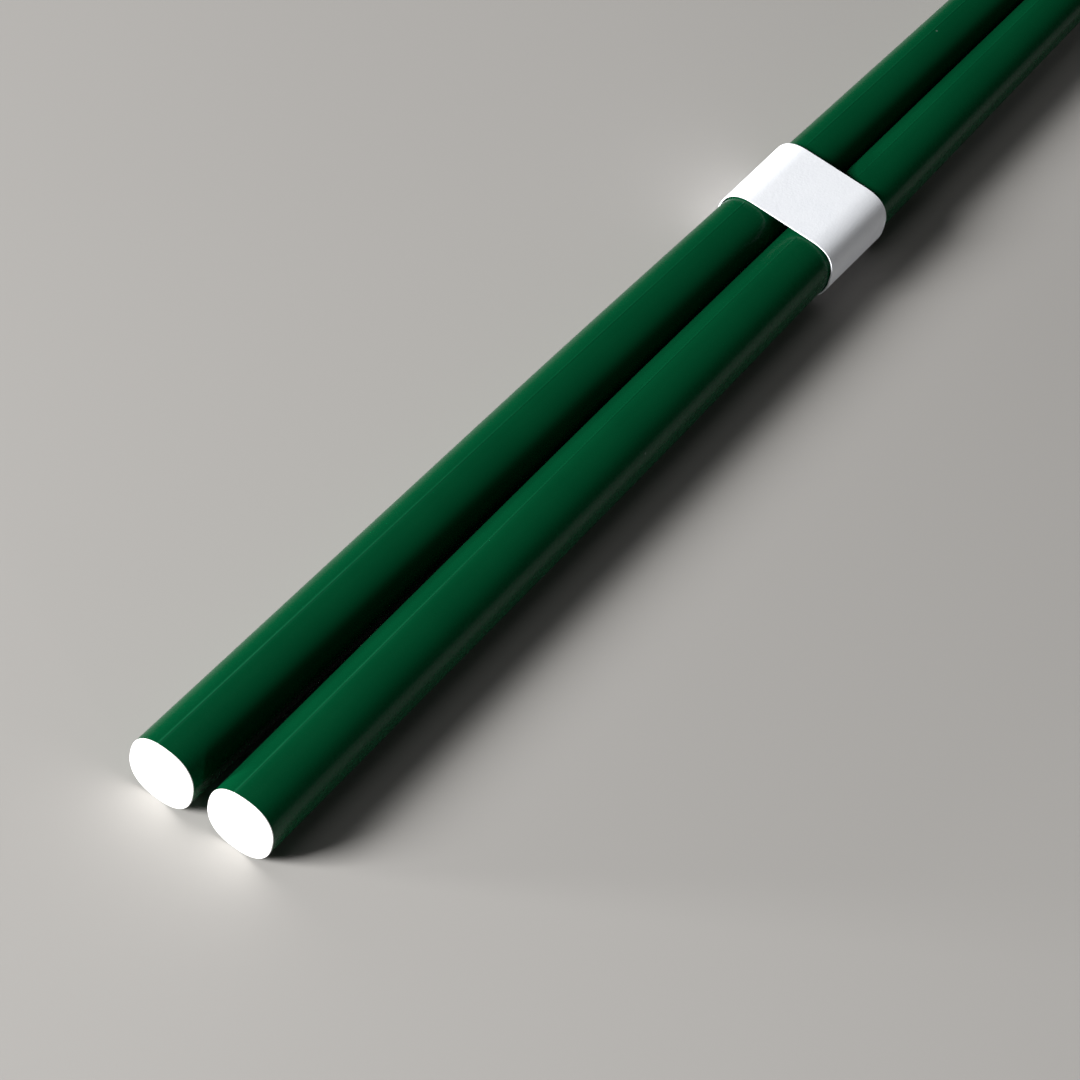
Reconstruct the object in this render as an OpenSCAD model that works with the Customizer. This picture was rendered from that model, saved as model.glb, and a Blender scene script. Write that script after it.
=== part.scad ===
// Pair of moulded chopsticks held together by a paper band.
// The sticks lie along Y, butt ends towards -Y and tips towards +Y, as they rest on a table.
// The origin is the bottom centre of the pair, on the surface that carries it.

/* [Stick] */
// Length of one stick from butt to tip
stick_length = 230; // [190:1:280]
// Width of the stick at the butt
butt_w = 8; // [6.5:0.1:11]
// Height of the stick at the butt
butt_h = 8.2; // [6.5:0.1:11]
// Length of the straight grip before the taper starts
grip_length = 73; // [40:1:95]
// Length over which the grip runs smoothly into the taper
taper_blend = 30; // [6:1:60]
// Width of the stick at the tip
tip_w = 5; // [2.5:0.1:6]
// Height of the stick at the tip
tip_h = 5.1; // [2.5:0.1:6]
// Length of the rounded end of the tip
tip_round = 2; // [0.5:0.1:5]
// Radius of the edge round the white butt face
butt_edge_r = 0.1; // [0.1:0.05:1]
// Squareness of the section: 2 is an ellipse, more is squarer
section_power = 2.4; // [2:0.1:4]

/* [Mould lines] */
// Height of the fine line that the mould leaves along each stick
line_h = 0.04; // [0.02:0.01:0.09]
// Width of a mould line at its foot
line_w = 0.3; // [0.1:0.05:0.6]
// Turn of the left stick's mould line from the top of its section, in degrees
left_line_turn = 15; // [-60:0.5:60]
// Turn of the right stick's mould line from the top of its section, in degrees
right_line_turn = 19.5; // [-60:0.5:60]

/* [Pair] */
// Gap between the sticks where their tapered sides lie along each other
side_gap = 0.1; // [0.05:0.05:1]
// How far the right stick is set back from the left one
right_setback = 0.6; // [0:0.1:4]

/* [Paper band] */
// Distance from the left butt to the near edge of the band
band_start = 104.3; // [96:0.1:150]
// Width of the band along the sticks
band_w = 11.4; // [5:0.1:40]
// Thickness of the paper
paper_t = 0.15; // [0.1:0.05:0.4]
// Room between the sticks and the paper
band_clearance = 0.15; // [0.1:0.05:0.3]
// How much squarer than the sticks the stiff paper runs over the right shoulder
shoulder_rise = 0.4; // [0:0.1:1]
// Width of the glued lap under the pair
lap_w = 4; // [1:0.5:5]
// Length over which the outer layer slopes down to the lap
lap_ramp = 1.5; // [0.5:0.1:3]

/* [Hidden] */

stick_green = [0.02, 0.35, 0.20];
end_white = [0.98, 0.98, 0.96];
paper_white = [0.94, 0.95, 0.97];

// Steps along each rounded stretch, and round half a section between the two mould lines
edge_steps = 4;
blend_steps = 6;
tip_steps = 5;
half_section_steps = 26;
band_arc_steps = 24;
// The tip ends in a small flat where its rounding reaches this angle
tip_turn = 75;

// The inner sides of the two tapers lie parallel, so each stick is turned by half its own taper
taper_run = stick_length - grip_length;
side_turn = atan((butt_w - tip_w) / 2 / taper_run);

// The pair rests on the butts and on the band, so the sticks rise by what the band lifts them
under_band = 2 * paper_t + band_clearance;
band_axis_z = under_band + half_h(band_start);
rest_turn = atan((band_axis_z - butt_h / 2) / band_start);
pair_length = stick_length + right_setback;

// Share of the taper reached at a distance from the butt: none on the grip, all at the tip
function taper_share(along) =
    let (past = along - grip_length, half_blend = taper_blend / 2)
    past <= -half_blend ? 0
    : past >= half_blend ? past / taper_run
    : pow(past + half_blend, 2) / (4 * half_blend) / taper_run;

function half_w(along) = (butt_w - (butt_w - tip_w) * taper_share(along)) / 2;
function half_h(along) = (butt_h - (butt_h - tip_h) * taper_share(along)) / 2;

// Distance of a stick's axis from the middle of the pair
function axis_x(along) = side_gap / 2 + butt_w / 2 * cos(side_turn) - (along - grip_length) * sin(side_turn);

// Radius of the section at an angle, the outline between an ellipse and a rectangle
function section_r(angle, half_width, half_height, power = section_power) =
    pow(
        pow(abs(cos(angle)) / half_width, power) + pow(abs(sin(angle)) / half_height, power),
        -1 / power
    );

// Angles of a section's points, counted from the upper mould line, as [angle, height on the line]
line_half_angle = atan(line_w / butt_h);
section_angles = [
    for (start = [0, 180]) each concat(
        [[start - line_half_angle, 0], [start, line_h], [start + line_half_angle, 0]],
        [
            for (step = [1 : half_section_steps - 1])
                [start + line_half_angle + (180 - 2 * line_half_angle) * step / half_section_steps, 0]
        ]
    )
];
section_count = len(section_angles);

function section_points(ring, line_turn) = [
    for (point = section_angles)
        let (
            angle = 90 + line_turn + point[0],
            r = section_r(angle, ring[1], ring[2]) + point[1]
        )
        [r * cos(angle), ring[0], r * sin(angle)]
];

// Rings along a stick as [distance from the butt, half width, half height]
butt_rings = [
    for (step = [0 : edge_steps])
        let (turn = 90 * step / edge_steps, inset = butt_edge_r * (1 - sin(turn)))
        [butt_edge_r * (1 - cos(turn)), butt_w / 2 - inset, butt_h / 2 - inset]
];
blend_rings = [
    for (step = [0 : blend_steps])
        let (along = grip_length + taper_blend * (step / blend_steps - 1 / 2))
        [along, half_w(along), half_h(along)]
];
tip_start = stick_length - tip_round;
tip_rings = [
    for (step = [0 : tip_steps])
        let (turn = tip_turn * step / tip_steps)
        [
            tip_start + tip_round * sin(turn) / sin(tip_turn),
            half_w(tip_start) * cos(turn),
            half_h(tip_start) * cos(turn)
        ]
];

// A closed skin through a row of rings
module loft(rings, line_turn) {
    last = len(rings) - 1;
    points = [for (ring = rings) each section_points(ring, line_turn)];
    sides = [
        for (row = [0 : last - 1], i = [0 : section_count - 1])
            let (
                near = row * section_count,
                far = near + section_count,
                next = (i + 1) % section_count
            )
            each [[near + i, near + next, far + next], [near + i, far + next, far + i]]
    ];
    near_cap = [for (i = [section_count - 1 : -1 : 0]) i];
    far_cap = [for (i = [0 : section_count - 1]) last * section_count + i];
    polyhedron(points, concat(sides, [near_cap, far_cap]));
}

// One stick in its own place, with its axis on Y and its butt at zero
module stick(line_turn) {
    color(end_white)
        loft(butt_rings, line_turn);
    color(stick_green)
        loft(concat([butt_rings[edge_steps]], blend_rings, tip_rings), line_turn);
}

// Lays a stick beside the other one, turned about the end of its grip; side is -1 left, 1 right
module lay_beside(side, setback) {
    translate([0, setback - pair_length / 2, 0])
        rotate([rest_turn, 0, 0])
            translate([side * side_gap / 2, grip_length, butt_h / 2])
                rotate([0, 0, side * side_turn])
                    translate([side * butt_w / 2, -grip_length, 0])
                        children();
}

module left_chopstick() {
    lay_beside(-1, 0)
        stick(left_line_turn);
}

module right_chopstick() {
    lay_beside(1, right_setback)
        stick(right_line_turn);
}

// Points of the taut paper round the outer half of one stick, at a distance from its surface
function wrap_arc(side, pad) = [
    for (step = [0 : band_arc_steps])
        let (
            angle = 180 * step / band_arc_steps - 90 * side,
            power = section_power + (side > 0 && angle > 0 ? shoulder_rise : 0),
            r = section_r(angle, half_w(band_start) + pad, half_h(band_start) + pad, power)
        )
        [side * axis_x(band_start) + r * cos(angle), band_axis_z + r * sin(angle)]
];

// The strip runs up the right side, over the top, down the left side and laps on itself below
module paper_band() {
    inside = concat(wrap_arc(1, band_clearance), wrap_arc(-1, band_clearance));
    wrap = concat(wrap_arc(1, band_clearance + paper_t), wrap_arc(-1, band_clearance + paper_t));
    lap = [[-lap_w / 2 - lap_ramp, paper_t], [-lap_w / 2, 0], [lap_w / 2, 0], [lap_w / 2, paper_t]];
    color(paper_white)
        translate([0, band_start + band_w - pair_length / 2, 0])
            rotate([90, 0, 0])
                linear_extrude(band_w)
                    difference() {
                        polygon(concat(wrap, lap));
                        polygon(inside);
                    }
}

left_chopstick();
right_chopstick();
paper_band();
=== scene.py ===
import math

import bpy
from mathutils import Matrix, Quaternion, Vector


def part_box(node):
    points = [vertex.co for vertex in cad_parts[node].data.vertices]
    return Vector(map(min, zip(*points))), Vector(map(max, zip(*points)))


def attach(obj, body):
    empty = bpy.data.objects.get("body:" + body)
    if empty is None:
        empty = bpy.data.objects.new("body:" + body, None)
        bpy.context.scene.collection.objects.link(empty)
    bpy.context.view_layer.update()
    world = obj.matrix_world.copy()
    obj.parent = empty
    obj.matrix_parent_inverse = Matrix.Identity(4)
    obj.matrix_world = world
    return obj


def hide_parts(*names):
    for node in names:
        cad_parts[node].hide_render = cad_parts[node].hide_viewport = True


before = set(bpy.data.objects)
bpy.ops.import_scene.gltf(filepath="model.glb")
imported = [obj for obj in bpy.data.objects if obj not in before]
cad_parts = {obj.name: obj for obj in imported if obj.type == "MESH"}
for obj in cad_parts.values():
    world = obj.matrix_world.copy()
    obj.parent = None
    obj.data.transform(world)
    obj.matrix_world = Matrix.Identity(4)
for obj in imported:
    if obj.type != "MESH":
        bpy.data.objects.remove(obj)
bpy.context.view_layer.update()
scene = bpy.context.scene


# The two chopsticks. Each is one solid moulding in dark green melamine with a satin gloss: a straight grip,
# then a long taper to a rounded tip. The mould leaves a fine raised line along two sides, and the flat butt
# is painted white. The pair lies side by side on its butts and on the paper band.
stick_length = 0.230
butt_width = 0.0080
butt_height = 0.0082
tip_width = 0.0050
tip_height = 0.0051
grip_length = 0.073
taper_blend = 0.030
butt_edge_radius = 0.0001
tip_round = 0.002
section_power = 2.4
mould_line_height = 0.00003
mould_line_width = 0.0003
mould_line_fades = (0.016, 0.068)
line_turns = {"left_chopstick": 15, "right_chopstick": 19.5}
side_gap = 0.0001
paper_thickness = 0.00015


def add_node(tree, kind, inputs=None, **settings):
    """Adds a node, with its settings, and fills its inputs with plain values or links."""
    node = tree.nodes.new(kind)
    for name, value in settings.items():
        setattr(node, name, value)
    for key, value in (inputs or {}).items():
        if isinstance(value, bpy.types.NodeSocket):
            tree.links.new(value, node.inputs[key])
        else:
            node.inputs[key].default_value = value
    return node


def math_step(tree, operation, *values):
    """Adds one step of arithmetic and gives its result."""
    return add_node(tree, "ShaderNodeMath", dict(enumerate(values)), operation=operation).outputs[0]


def new_tree(name, kind, inputs, outputs):
    """Makes a node group with named inputs and outputs, and gives it with its two end nodes."""
    tree = bpy.data.node_groups.new(name, kind)
    for label, socket_kind in inputs:
        tree.interface.new_socket(label, in_out="INPUT", socket_type=socket_kind)
    for label, socket_kind in outputs:
        tree.interface.new_socket(label, in_out="OUTPUT", socket_type=socket_kind)
    return tree, tree.nodes.new("NodeGroupInput"), tree.nodes.new("NodeGroupOutput")


# Fine grain that the plastic, the paint and the paper all show, each at its own scale. Noise runs from zero
# to one, and nearly all of it keeps to the span given here.
noise_span = (0.3, 0.7)
grain_tree, grain_in, grain_out = new_tree(
    "fine_grain",
    "ShaderNodeTree",
    [
        ("Place", "NodeSocketVector"),
        ("Grains per metre", "NodeSocketFloat"),
        ("Clouds per metre", "NodeSocketFloat"),
    ],
    [("Grain", "NodeSocketFloat"), ("Cloud", "NodeSocketFloat")],
)
grain_noise = add_node(
    grain_tree,
    "ShaderNodeTexNoise",
    {"Vector": grain_in.outputs["Place"], "Scale": grain_in.outputs["Grains per metre"], "Detail": 3.0},
)
cloud_noise = add_node(
    grain_tree,
    "ShaderNodeTexNoise",
    {"Vector": grain_in.outputs["Place"], "Scale": grain_in.outputs["Clouds per metre"], "Detail": 2.0},
)
grain_tree.links.new(grain_noise.outputs["Fac"], grain_out.inputs["Grain"])
grain_tree.links.new(cloud_noise.outputs["Fac"], grain_out.inputs["Cloud"])


def new_material(name):
    """Makes an empty node material and gives its tree, its shader and the place on the piece."""
    material = bpy.data.materials.new(name)
    material.use_nodes = True
    tree = material.node_tree
    shader = tree.nodes["Principled BSDF"]
    place = add_node(tree, "ShaderNodeTexCoord").outputs["Object"]
    return material, tree, shader, place


def add_grain(tree, place, grains, clouds):
    """Places the fine grain in a material."""
    group = add_node(tree, "ShaderNodeGroup", node_tree=grain_tree)
    tree.links.new(place, group.inputs["Place"])
    group.inputs["Grains per metre"].default_value = grains
    group.inputs["Clouds per metre"].default_value = clouds
    return group.outputs["Grain"], group.outputs["Cloud"]


def blend_colours(tree, share, first, second):
    """Mixes two colours, each plain or linked, by a share that changes over the surface."""
    node = add_node(tree, "ShaderNodeMix", data_type="RGBA")
    for key, value in (("Factor_Float", share), ("A_Color", first), ("B_Color", second)):
        socket = next(s for s in node.inputs if s.identifier == key)
        if isinstance(value, bpy.types.NodeSocket):
            tree.links.new(value, socket)
        else:
            socket.default_value = (*value, 1.0)
    return next(s for s in node.outputs if s.identifier == "Result_Color")


def stretch(tree, value, low, high, to_low, to_high):
    """Maps a value from one range to another, smoothly and without going past either end."""
    return add_node(
        tree,
        "ShaderNodeMapRange",
        {"Value": value, "From Min": low, "From Max": high, "To Min": to_low, "To Max": to_high},
        interpolation_type="SMOOTHSTEP",
    ).outputs["Result"]


# Green melamine: a deep, even green with faint clouds of pigment, a pale mould line and stray dust.
deep_green = (0.00055, 0.0505, 0.0173)
clouded_green = (0.0008, 0.0550, 0.0188)
# The pale mould line's colour is partly scuffing and partly a painted highlight where the ridge catches the
# light.
scuffed_and_highlit_green = (0.0044, 0.084, 0.0342)
dust_grey = (0.35, 0.40, 0.38)
green_roughness = (0.24, 0.30)
scuff_roughness = 0.2
hairlines_per_metre = 5200.0
hairline_draw = (1.0, 0.04, 1.0)
hairline_height_share = 0.5
hairline_span = (0.25, 0.75)
scuff_and_highlight_shares = (0.6, 1.0)
dust_cells_per_metre = 260.0
dusty_cells = (0.90, 0.98)
dust_spot_sizes = (0.015, 0.045)
dust_cover_share = 0.25

green_plastic, tree, shader, place = new_material("green_melamine")
grain, cloud = add_grain(tree, place, grains=1400.0, clouds=90.0)
flow = add_node(tree, "ShaderNodeMapping", {"Vector": place, "Scale": hairline_draw}).outputs["Vector"]
hairlines = add_node(
    tree,
    "ShaderNodeTexNoise",
    {"Vector": flow, "Scale": hairlines_per_metre, "Detail": 2.0},
).outputs["Fac"]
line_mask = add_node(tree, "ShaderNodeAttribute", attribute_name="mould_line").outputs["Fac"]
# The pale mould-line mark: partly scuff, partly painted highlight.
line_scuff_and_highlight = stretch(tree, hairlines, *hairline_span, *scuff_and_highlight_shares)
line_share = math_step(tree, "MULTIPLY", line_mask, line_scuff_and_highlight)
dust_cells = add_node(tree, "ShaderNodeTexVoronoi", {"Vector": place, "Scale": dust_cells_per_metre})
dust_pick = add_node(tree, "ShaderNodeSeparateColor", {"Color": dust_cells.outputs["Color"]}).outputs["Red"]
dust_here = stretch(tree, dust_pick, *dusty_cells, 0.0, 1.0)
dust_spot = stretch(tree, dust_cells.outputs["Distance"], *dust_spot_sizes, 1.0, 0.0)
dust_share = math_step(tree, "MULTIPLY", dust_here, dust_spot)
dust_cover = math_step(tree, "MULTIPLY", dust_share, dust_cover_share)
pigment = stretch(tree, cloud, *noise_span, 0.0, 1.0)
green = blend_colours(tree, pigment, deep_green, clouded_green)
green = blend_colours(tree, line_share, green, scuffed_and_highlit_green)
green = blend_colours(tree, dust_cover, green, dust_grey)
tree.links.new(green, shader.inputs["Base Color"])
gloss = stretch(tree, grain, *noise_span, *green_roughness)
gloss = math_step(tree, "MULTIPLY_ADD", line_share, scuff_roughness, gloss)
tree.links.new(gloss, shader.inputs["Roughness"])
skin_height = math_step(tree, "MULTIPLY_ADD", hairlines, hairline_height_share, grain)
skin = add_node(tree, "ShaderNodeBump", {"Height": skin_height, "Strength": 0.010, "Distance": 0.0001})
tree.links.new(skin.outputs["Normal"], shader.inputs["Normal"])
shader.inputs["Specular IOR Level"].default_value = 0.10

# White paint on the butt: thin and a little uneven, with a softer gloss than the green.
thin_white = (0.80, 0.795, 0.772)
full_white = (0.86, 0.858, 0.84)
paint_roughness = (0.38, 0.50)

white_paint, tree, shader, place = new_material("white_end_paint")
grain, cloud = add_grain(tree, place, grains=2600.0, clouds=420.0)
paint_depth = stretch(tree, cloud, *noise_span, 0.0, 1.0)
white = blend_colours(tree, paint_depth, thin_white, full_white)
tree.links.new(white, shader.inputs["Base Color"])
tree.links.new(stretch(tree, grain, *noise_span, *paint_roughness), shader.inputs["Roughness"])
brushed = add_node(tree, "ShaderNodeBump", {"Height": grain, "Strength": 0.08, "Distance": 0.0001})
tree.links.new(brushed.outputs["Normal"], shader.inputs["Normal"])

# The rule of one stick, with its axis on Y and its butt at zero. A plain tube of rings is drawn out along Y,
# with its rings close together at the two ends and its points close together beside the mould lines.
points_round = 256
rings_along = 120
end_closeness = 0.999
line_closeness = 0.7
blend_reach_share = 0.75
tip_end_turn = math.radians(75)
lines_round = 2.0
line_waves_per_metre = 60.0
line_wave_span = (0.2, 0.6)
line_height_shares = (0.7, 1.0)
faded_line_share = 0.15
stick_sizes = {
    "Length": stick_length,
    "Butt width": butt_width,
    "Butt height": butt_height,
    "Tip width": tip_width,
    "Tip height": tip_height,
    "Grip length": grip_length,
    "Taper blend": taper_blend,
    "Butt edge radius": butt_edge_radius,
    "Tip round": tip_round,
    "Section power": section_power,
    "Line height": mould_line_height,
    "Line width": mould_line_width,
    "Line angle": 0.0,
}
stick_tree, stick_in, stick_out = new_tree(
    "moulded_stick",
    "GeometryNodeTree",
    [(label, "NodeSocketFloat") for label in stick_sizes],
    [("Stick", "NodeSocketGeometry")],
)
size = stick_in.outputs


def step(operation, *values):
    """Adds one step of arithmetic to the stick's rule."""
    return math_step(stick_tree, operation, *values)


tube = add_node(
    stick_tree,
    "GeometryNodeMeshCylinder",
    {"Vertices": points_round, "Side Segments": rings_along, "Radius": 1.0, "Depth": 1.0},
)
tube_place = add_node(stick_tree, "GeometryNodeInputPosition").outputs[0]
tube_xyz = add_node(stick_tree, "ShaderNodeSeparateXYZ", {0: tube_place}).outputs
even_along = step("ADD", tube_xyz["Z"], 0.5)
ring_shift = step("MULTIPLY", step("SINE", step("MULTIPLY", even_along, math.tau)), end_closeness / math.tau)
along = step("MULTIPLY", size["Length"], step("SUBTRACT", even_along, ring_shift))
even_round = step("ARCTAN2", tube_xyz["Y"], tube_xyz["X"])
line_wave_round = step("SINE", step("MULTIPLY", even_round, lines_round))
point_shift = step("MULTIPLY", line_wave_round, line_closeness / lines_round)
from_line = step("SUBTRACT", even_round, point_shift)
angle = step("ADD", from_line, size["Line angle"])

blend_reach = step("MULTIPLY", size["Taper blend"], blend_reach_share)
past_grip = step("SMOOTH_MAX", step("SUBTRACT", along, size["Grip length"]), 0.0, blend_reach)
taper = step("DIVIDE", past_grip, step("SUBTRACT", size["Length"], size["Grip length"]))
edge_rest = step("SUBTRACT", 1.0, step("DIVIDE", along, size["Butt edge radius"]))
edge_turn = step("MAXIMUM", edge_rest, 0.0)
edge_out = step("SQRT", step("SUBTRACT", 1.0, step("MULTIPLY", edge_turn, edge_turn)))
edge_inset = step("MULTIPLY", size["Butt edge radius"], step("SUBTRACT", 1.0, edge_out))
tip_left = step("SUBTRACT", size["Length"], along)
tip_reach = step("MAXIMUM", step("SUBTRACT", 1.0, step("DIVIDE", tip_left, size["Tip round"])), 0.0)
tip_turn = step("MULTIPLY", tip_reach, math.sin(tip_end_turn))
tip_shrink = step("SQRT", step("SUBTRACT", 1.0, step("MULTIPLY", tip_turn, tip_turn)))


def half_size(butt, tip):
    """Half the stick's width or height at a ring, with its rounded ends taken off."""
    narrowing = step("MULTIPLY", taper, step("SUBTRACT", size[butt], size[tip]))
    full = step("MULTIPLY", step("SUBTRACT", size[butt], narrowing), 0.5)
    return step("SUBTRACT", step("MULTIPLY", full, tip_shrink), edge_inset)


across = step("DIVIDE", step("ABSOLUTE", step("COSINE", angle)), half_size("Butt width", "Tip width"))
upward = step("DIVIDE", step("ABSOLUTE", step("SINE", angle)), half_size("Butt height", "Tip height"))
power = size["Section power"]
section_sum = step("ADD", step("POWER", across, power), step("POWER", upward, power))
radius = step("POWER", section_sum, step("DIVIDE", -1.0, power))
line_offset = step("ABSOLUTE", step("WRAP", from_line, math.pi / lines_round, -math.pi / lines_round))
line_distance = step("MULTIPLY", line_offset, radius)
on_line = stretch(stick_tree, line_distance, 0.0, step("MULTIPLY", size["Line width"], 0.5), 1.0, 0.0)
line_noise = add_node(
    stick_tree,
    "ShaderNodeTexNoise",
    {"W": along, "Scale": line_waves_per_metre, "Detail": 1.0},
    noise_dimensions="1D",
).outputs["Fac"]
line_wave = stretch(stick_tree, line_noise, *line_wave_span, *line_height_shares)
line_height = step("MULTIPLY", size["Line height"], line_wave)
line_rise = step("MULTIPLY", on_line, line_height)
radius = step("ADD", radius, line_rise)
skin_place = add_node(
    stick_tree,
    "ShaderNodeCombineXYZ",
    {
        "X": step("MULTIPLY", radius, step("COSINE", angle)),
        "Y": along,
        "Z": step("MULTIPLY", radius, step("SINE", angle)),
    },
).outputs[0]
# Where the pale mould line is painted: partly scuff, partly painted highlight, fading along the stick.
scuff_and_highlight = stretch(stick_tree, line_distance, 0.0, size["Line width"], 1.0, 0.0)
line_fade = stretch(stick_tree, along, *mould_line_fades, 1.0, faded_line_share)
scuff_and_highlight = step("MULTIPLY", scuff_and_highlight, line_fade)
marked = add_node(
    stick_tree,
    "GeometryNodeStoreNamedAttribute",
    {"Geometry": tube.outputs["Mesh"], "Name": "mould_line", "Value": scuff_and_highlight},
)
smooth = add_node(
    stick_tree,
    "GeometryNodeSetShadeSmooth",
    {"Geometry": marked.outputs[0], "Shade Smooth": tube.outputs["Side"]},
)
drawn = add_node(
    stick_tree,
    "GeometryNodeSetPosition",
    {"Geometry": smooth.outputs[0], "Position": skin_place},
)
outward = add_node(stick_tree, "GeometryNodeFlipFaces", {"Mesh": drawn.outputs[0]})
solid = add_node(stick_tree, "GeometryNodeRealizeInstances", {"Geometry": outward.outputs[0]})
coloured = add_node(
    stick_tree,
    "GeometryNodeSetMaterial",
    {"Geometry": solid.outputs[0], "Material": green_plastic},
)
# Read here, after the tube is drawn out, the same position gives the place on the finished stick.
skin_xyz = add_node(stick_tree, "ShaderNodeSeparateXYZ", {0: tube_place}).outputs
painted_here = add_node(
    stick_tree,
    "FunctionNodeCompare",
    {0: skin_xyz["Y"], 1: size["Butt edge radius"]},
    operation="LESS_THAN",
).outputs[0]
painted = add_node(
    stick_tree,
    "GeometryNodeSetMaterial",
    {"Geometry": coloured.outputs[0], "Selection": painted_here, "Material": white_paint},
)
stick_tree.links.new(painted.outputs[0], stick_out.inputs["Stick"])


def run_tree(name, seed, tree, values):
    """Runs a node tree on seed data with its named sizes, and gives the result as a plain mesh piece."""
    rough = bpy.data.objects.new(name + "_rule", seed)
    scene.collection.objects.link(rough)
    modifier = rough.modifiers.new("rule", "NODES")
    modifier.node_group = tree
    for item in tree.interface.items_tree:
        if item.in_out == "INPUT" and item.name in values:
            modifier[item.identifier] = values[item.name]
    graph = bpy.context.evaluated_depsgraph_get()
    mesh = bpy.data.meshes.new_from_object(
        rough.evaluated_get(graph), preserve_all_data_layers=True, depsgraph=graph
    )
    rough.modifiers.remove(modifier)
    bpy.data.objects.remove(rough)
    mesh.name = name
    piece = bpy.data.objects.new(name, mesh)
    scene.collection.objects.link(piece)
    return piece


# The band lifts the sticks a little, and half of its own taper turns each stick towards the other.
left_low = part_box("left_chopstick")[0]
band_low, band_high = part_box("paper_band")
band_start = band_low.y - left_low.y
band_axis_height = (band_high.z + paper_thickness) / 2
rest_turn = math.atan((band_axis_height - butt_height / 2) / band_start)
side_turn = math.atan((butt_width - tip_width) / 2 / (stick_length - grip_length))

for node, name, side in (("left_chopstick", "left_stick", -1), ("right_chopstick", "right_stick", 1)):
    line_angle = math.radians(90 + line_turns[node])
    seed = bpy.data.meshes.new(name + "_seed")
    stick = run_tree(name, seed, stick_tree, {**stick_sizes, "Line angle": line_angle})
    node_low, node_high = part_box(node)
    butt_at = (node_low.y + node_high.y) / 2 - stick_length / 2
    lay = (
        Matrix.Translation((0, butt_at, 0))
        @ Matrix.Rotation(rest_turn, 4, "X")
        @ Matrix.Translation((side * side_gap / 2, grip_length, butt_height / 2))
        @ Matrix.Rotation(side * side_turn, 4, "Z")
        @ Matrix.Translation((side * butt_width / 2, -grip_length, 0))
    )
    stick.data.transform(lay)
    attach(stick, "root")
    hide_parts(node)


# The paper band. It is one strip of plain white paper, wrapped tight round both sticks near their middle.
# Its outer end is glued over its inner end on the underside, and it stands a little off the right shoulder.
band_width = band_high.y - band_low.y
band_clearance = 0.00015
shoulder_rise = 0.4
lap_width = 0.004
lap_ramp = 0.0015
lap_step_back = 0.00005
arc_steps = 64
flat_steps = 16
cut_edge_bend = math.radians(30)
paper_middle = band_clearance + paper_thickness / 2

# White paper: bright and matt, with fine fibres and a faint unevenness.
soft_white = (0.895, 0.917, 0.958)
bright_white = (0.912, 0.933, 0.972)
fibre_grey = (0.80, 0.82, 0.86)
paper_roughness = (0.72, 0.86)
fibres_per_metre = 5200.0
fibre_angle = math.radians(28)
fibre_draw = (1.0, 0.22, 1.0)
fibre_span = (0.60, 0.80)
fibre_cover_share = 0.35
fibre_height_share = 0.8

white_paper, tree, shader, place = new_material("white_paper")
grain, cloud = add_grain(tree, place, grains=3800.0, clouds=520.0)
fibre_turn = add_node(
    tree,
    "ShaderNodeMapping",
    {"Vector": place, "Rotation": (0.0, 0.0, fibre_angle), "Scale": fibre_draw},
).outputs["Vector"]
fibres = add_node(
    tree,
    "ShaderNodeTexNoise",
    {"Vector": fibre_turn, "Scale": fibres_per_metre, "Detail": 2.0, "Distortion": 0.6},
).outputs["Fac"]
pulp = stretch(tree, cloud, *noise_span, 0.0, 1.0)
paper = blend_colours(tree, pulp, soft_white, bright_white)
fibre_cover = stretch(tree, fibres, *fibre_span, 0.0, fibre_cover_share)
paper = blend_colours(tree, fibre_cover, paper, fibre_grey)
tree.links.new(paper, shader.inputs["Base Color"])
tree.links.new(stretch(tree, grain, *noise_span, *paper_roughness), shader.inputs["Roughness"])
paper_height = math_step(tree, "MULTIPLY_ADD", fibres, fibre_height_share, grain)
tooth = add_node(tree, "ShaderNodeBump", {"Height": paper_height, "Strength": 0.12, "Distance": 0.0001})
tree.links.new(tooth.outputs["Normal"], shader.inputs["Normal"])

# The path of the strip's middle layer, from the inner end of the lap right round to its outer end.
taper_at_band = (band_start - grip_length) / (stick_length - grip_length)
band_half_width = (butt_width - (butt_width - tip_width) * taper_at_band) / 2 + paper_middle
band_half_height = (butt_height - (butt_height - tip_height) * taper_at_band) / 2 + paper_middle
axis_x = (
    side_gap / 2
    + butt_width / 2 * math.cos(side_turn)
    - (band_start - grip_length) * math.sin(side_turn)
)


def wrap_arc(side):
    """Points round the outer half of one stick, upwards on the right and downwards on the left."""
    points = []
    for count in range(arc_steps + 1):
        turn = math.pi * count / arc_steps - side * math.pi / 2
        power = section_power + (shoulder_rise if side > 0 and turn > 0 else 0)
        across_part = (abs(math.cos(turn)) / band_half_width) ** power
        upward_part = (abs(math.sin(turn)) / band_half_height) ** power
        reach = (across_part + upward_part) ** (-1 / power)
        points.append((side * axis_x + reach * math.cos(turn), band_axis_height + reach * math.sin(turn)))
    return points


def flat_run(first, last, steps):
    """Points between two ends of a flat stretch, without the ends."""
    return [
        (first[0] + (last[0] - first[0]) * count / steps, first[1] + (last[1] - first[1]) * count / steps)
        for count in range(1, steps)
    ]


right_arc = wrap_arc(1)
left_arc = wrap_arc(-1)
inner_level = right_arc[0][1]
outer_level = paper_thickness / 2
inner_end = (-lap_width / 2 + lap_step_back, inner_level)
ramp_top = (-lap_width / 2 - lap_ramp, inner_level)
ramp_foot = (-lap_width / 2, outer_level)
outer_end = (lap_width / 2, outer_level)
wrap_path = [
    inner_end,
    *flat_run(inner_end, right_arc[0], flat_steps),
    *right_arc,
    *flat_run(right_arc[-1], left_arc[0], flat_steps),
    *left_arc,
    *flat_run(left_arc[-1], ramp_top, flat_steps // 2),
    ramp_top,
    *flat_run(ramp_top, ramp_foot, flat_steps // 2),
    ramp_foot,
    *flat_run(ramp_foot, outer_end, flat_steps),
    outer_end,
]

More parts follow.
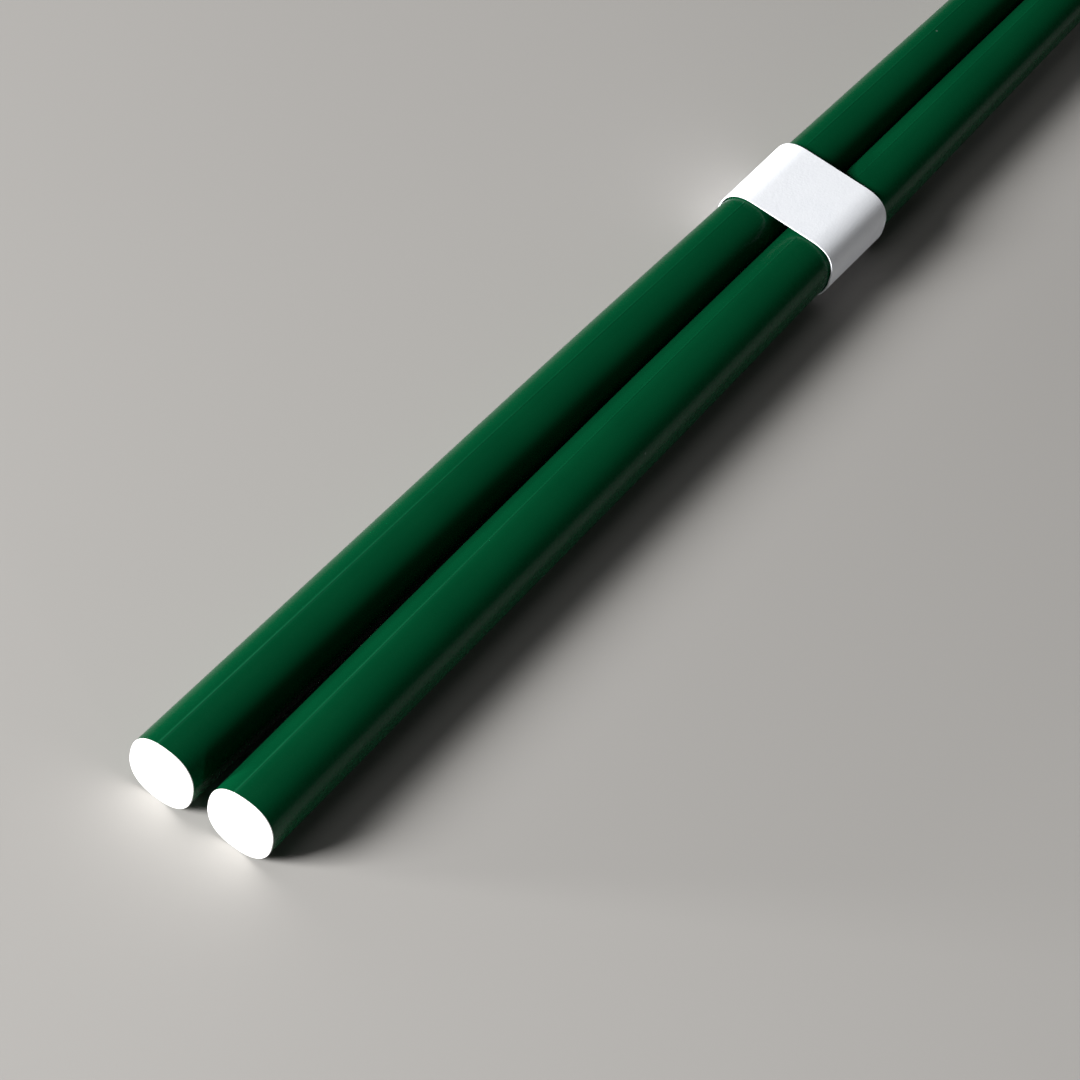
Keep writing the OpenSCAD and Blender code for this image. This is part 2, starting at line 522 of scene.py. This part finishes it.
# The rule of a wrapped strip: a thin oblong drawn along the path.
strip_tree, strip_in, strip_out = new_tree(
    "wrapped_strip",
    "GeometryNodeTree",
    [
        ("Path", "NodeSocketGeometry"),
        ("Strip width", "NodeSocketFloat"),
        ("Paper thickness", "NodeSocketFloat"),
    ],
    [("Strip", "NodeSocketGeometry")],
)
oblong = add_node(
    strip_tree,
    "GeometryNodeCurvePrimitiveQuadrilateral",
    {"Width": strip_in.outputs["Strip width"], "Height": strip_in.outputs["Paper thickness"]},
)
swept = add_node(
    strip_tree,
    "GeometryNodeCurveToMesh",
    {"Curve": strip_in.outputs["Path"], "Profile Curve": oblong.outputs[0], "Fill Caps": True},
)
bend = add_node(strip_tree, "GeometryNodeInputMeshEdgeAngle").outputs["Unsigned Angle"]
soft_bend = add_node(
    strip_tree, "FunctionNodeCompare", {0: bend, 1: cut_edge_bend}, operation="LESS_THAN"
).outputs[0]
creased = add_node(
    strip_tree,
    "GeometryNodeSetShadeSmooth",
    {"Geometry": swept.outputs[0], "Shade Smooth": soft_bend},
    domain="EDGE",
)
whole = add_node(strip_tree, "GeometryNodeRealizeInstances", {"Geometry": creased.outputs[0]})
papered = add_node(
    strip_tree,
    "GeometryNodeSetMaterial",
    {"Geometry": whole.outputs[0], "Material": white_paper},
)
strip_tree.links.new(papered.outputs[0], strip_out.inputs["Strip"])

path_curve = bpy.data.curves.new("wrap_path", "CURVE")
path_curve.dimensions = "3D"
path_line = path_curve.splines.new("POLY")
path_line.points.add(len(wrap_path) - 1)
band_middle = (band_low.y + band_high.y) / 2
for point, (x, z) in zip(path_line.points, wrap_path):
    point.co = (x, band_middle, z, 1.0)
strip_sizes = {"Strip width": band_width, "Paper thickness": paper_thickness}
strip = run_tree("paper_strip", path_curve, strip_tree, strip_sizes)
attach(strip, "root")
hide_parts("paper_band")


# The table that the pair lies on: a plain pale sheet. One soft window of light stands at the front left, with
# a low white card below it. A small card on the right and the ceiling keep the shaded sides from going black.
floor_reach = 4.0
floor_drop = 0.00002
floor_grey = (0.423, 0.4085, 0.391)
clouded_floor_grey = (0.433, 0.419, 0.401)

floor_material, tree, shader, place = new_material("pale_floor")
cloud = add_grain(tree, place, grains=900.0, clouds=6.0)[1]
floor_cloud = stretch(tree, cloud, *noise_span, 0.0, 1.0)
floor_tone = blend_colours(tree, floor_cloud, floor_grey, clouded_floor_grey)
tree.links.new(floor_tone, shader.inputs["Base Color"])
shader.inputs["Roughness"].default_value = 0.9
shader.inputs["Specular IOR Level"].default_value = 0.1
floor_mesh = bpy.data.meshes.new("floor")
floor_mesh.from_pydata(
    [(x, y, -floor_drop) for x, y in ((-1, -1), (1, -1), (1, 1), (-1, 1))], [], [(0, 1, 2, 3)]
)
floor_mesh.transform(Matrix.Diagonal((floor_reach, floor_reach, 1.0, 1.0)))
floor_mesh.materials.append(floor_material)
floor = bpy.data.objects.new("floor", floor_mesh)
scene.collection.objects.link(floor)

light_aim = Vector((0.0, -0.06, 0.0))


def add_window(name, direction, distance, breadth, power):
    """Hangs a square soft light that faces the middle of the pair's front half."""
    window = bpy.data.lights.new(name, "AREA")
    window.shape = "SQUARE"
    window.size = breadth
    window.energy = power
    lamp = bpy.data.objects.new(name, window)
    lamp.rotation_mode = "QUATERNION"
    toward = Vector(direction).normalized()
    lamp.location = light_aim + toward * distance
    lamp.rotation_quaternion = toward.to_track_quat("Z", "Y")
    scene.collection.objects.link(lamp)


add_window(
    "front_left_window", direction=(-0.4745, -0.7516, 0.4583), distance=1.3, breadth=0.44, power=34.2
)
add_window("low_left_card", direction=(-0.75, -0.65, 0.065), distance=0.9, breadth=0.12, power=10.0)
add_window("low_right_card", direction=(0.85, -0.5, 0.07), distance=1.2, breadth=0.12, power=2.0)
add_window("ceiling", direction=(-0.20, 0.10, 0.97), distance=1.2, breadth=0.6, power=0.9)

room = bpy.data.worlds.new("room")
room.use_nodes = True
room.node_tree.nodes["Background"].inputs["Color"].default_value = (0.9, 0.95, 1.0, 1.0)
room.node_tree.nodes["Background"].inputs["Strength"].default_value = 0.004
scene.world = room
scene.view_settings.view_transform = "Standard"


# The camera, with a long lens, looks down over the butts from the front right and leans to its left.
camera_data = bpy.data.cameras.new("camera")
camera_data.lens = 150.0
camera_data.sensor_width = 36.0
camera = bpy.data.objects.new("camera", camera_data)
camera.rotation_mode = "QUATERNION"
camera.location = (0.12667, -0.34512, 0.36400)
looking_at = Vector((0.00411, -0.06105, 0.0))
lean = Quaternion((0.0, 0.0, 1.0), math.radians(16.02))
camera.rotation_quaternion = (looking_at - camera.location).to_track_quat("-Z", "Y") @ lean
scene.collection.objects.link(camera)
scene.camera = camera
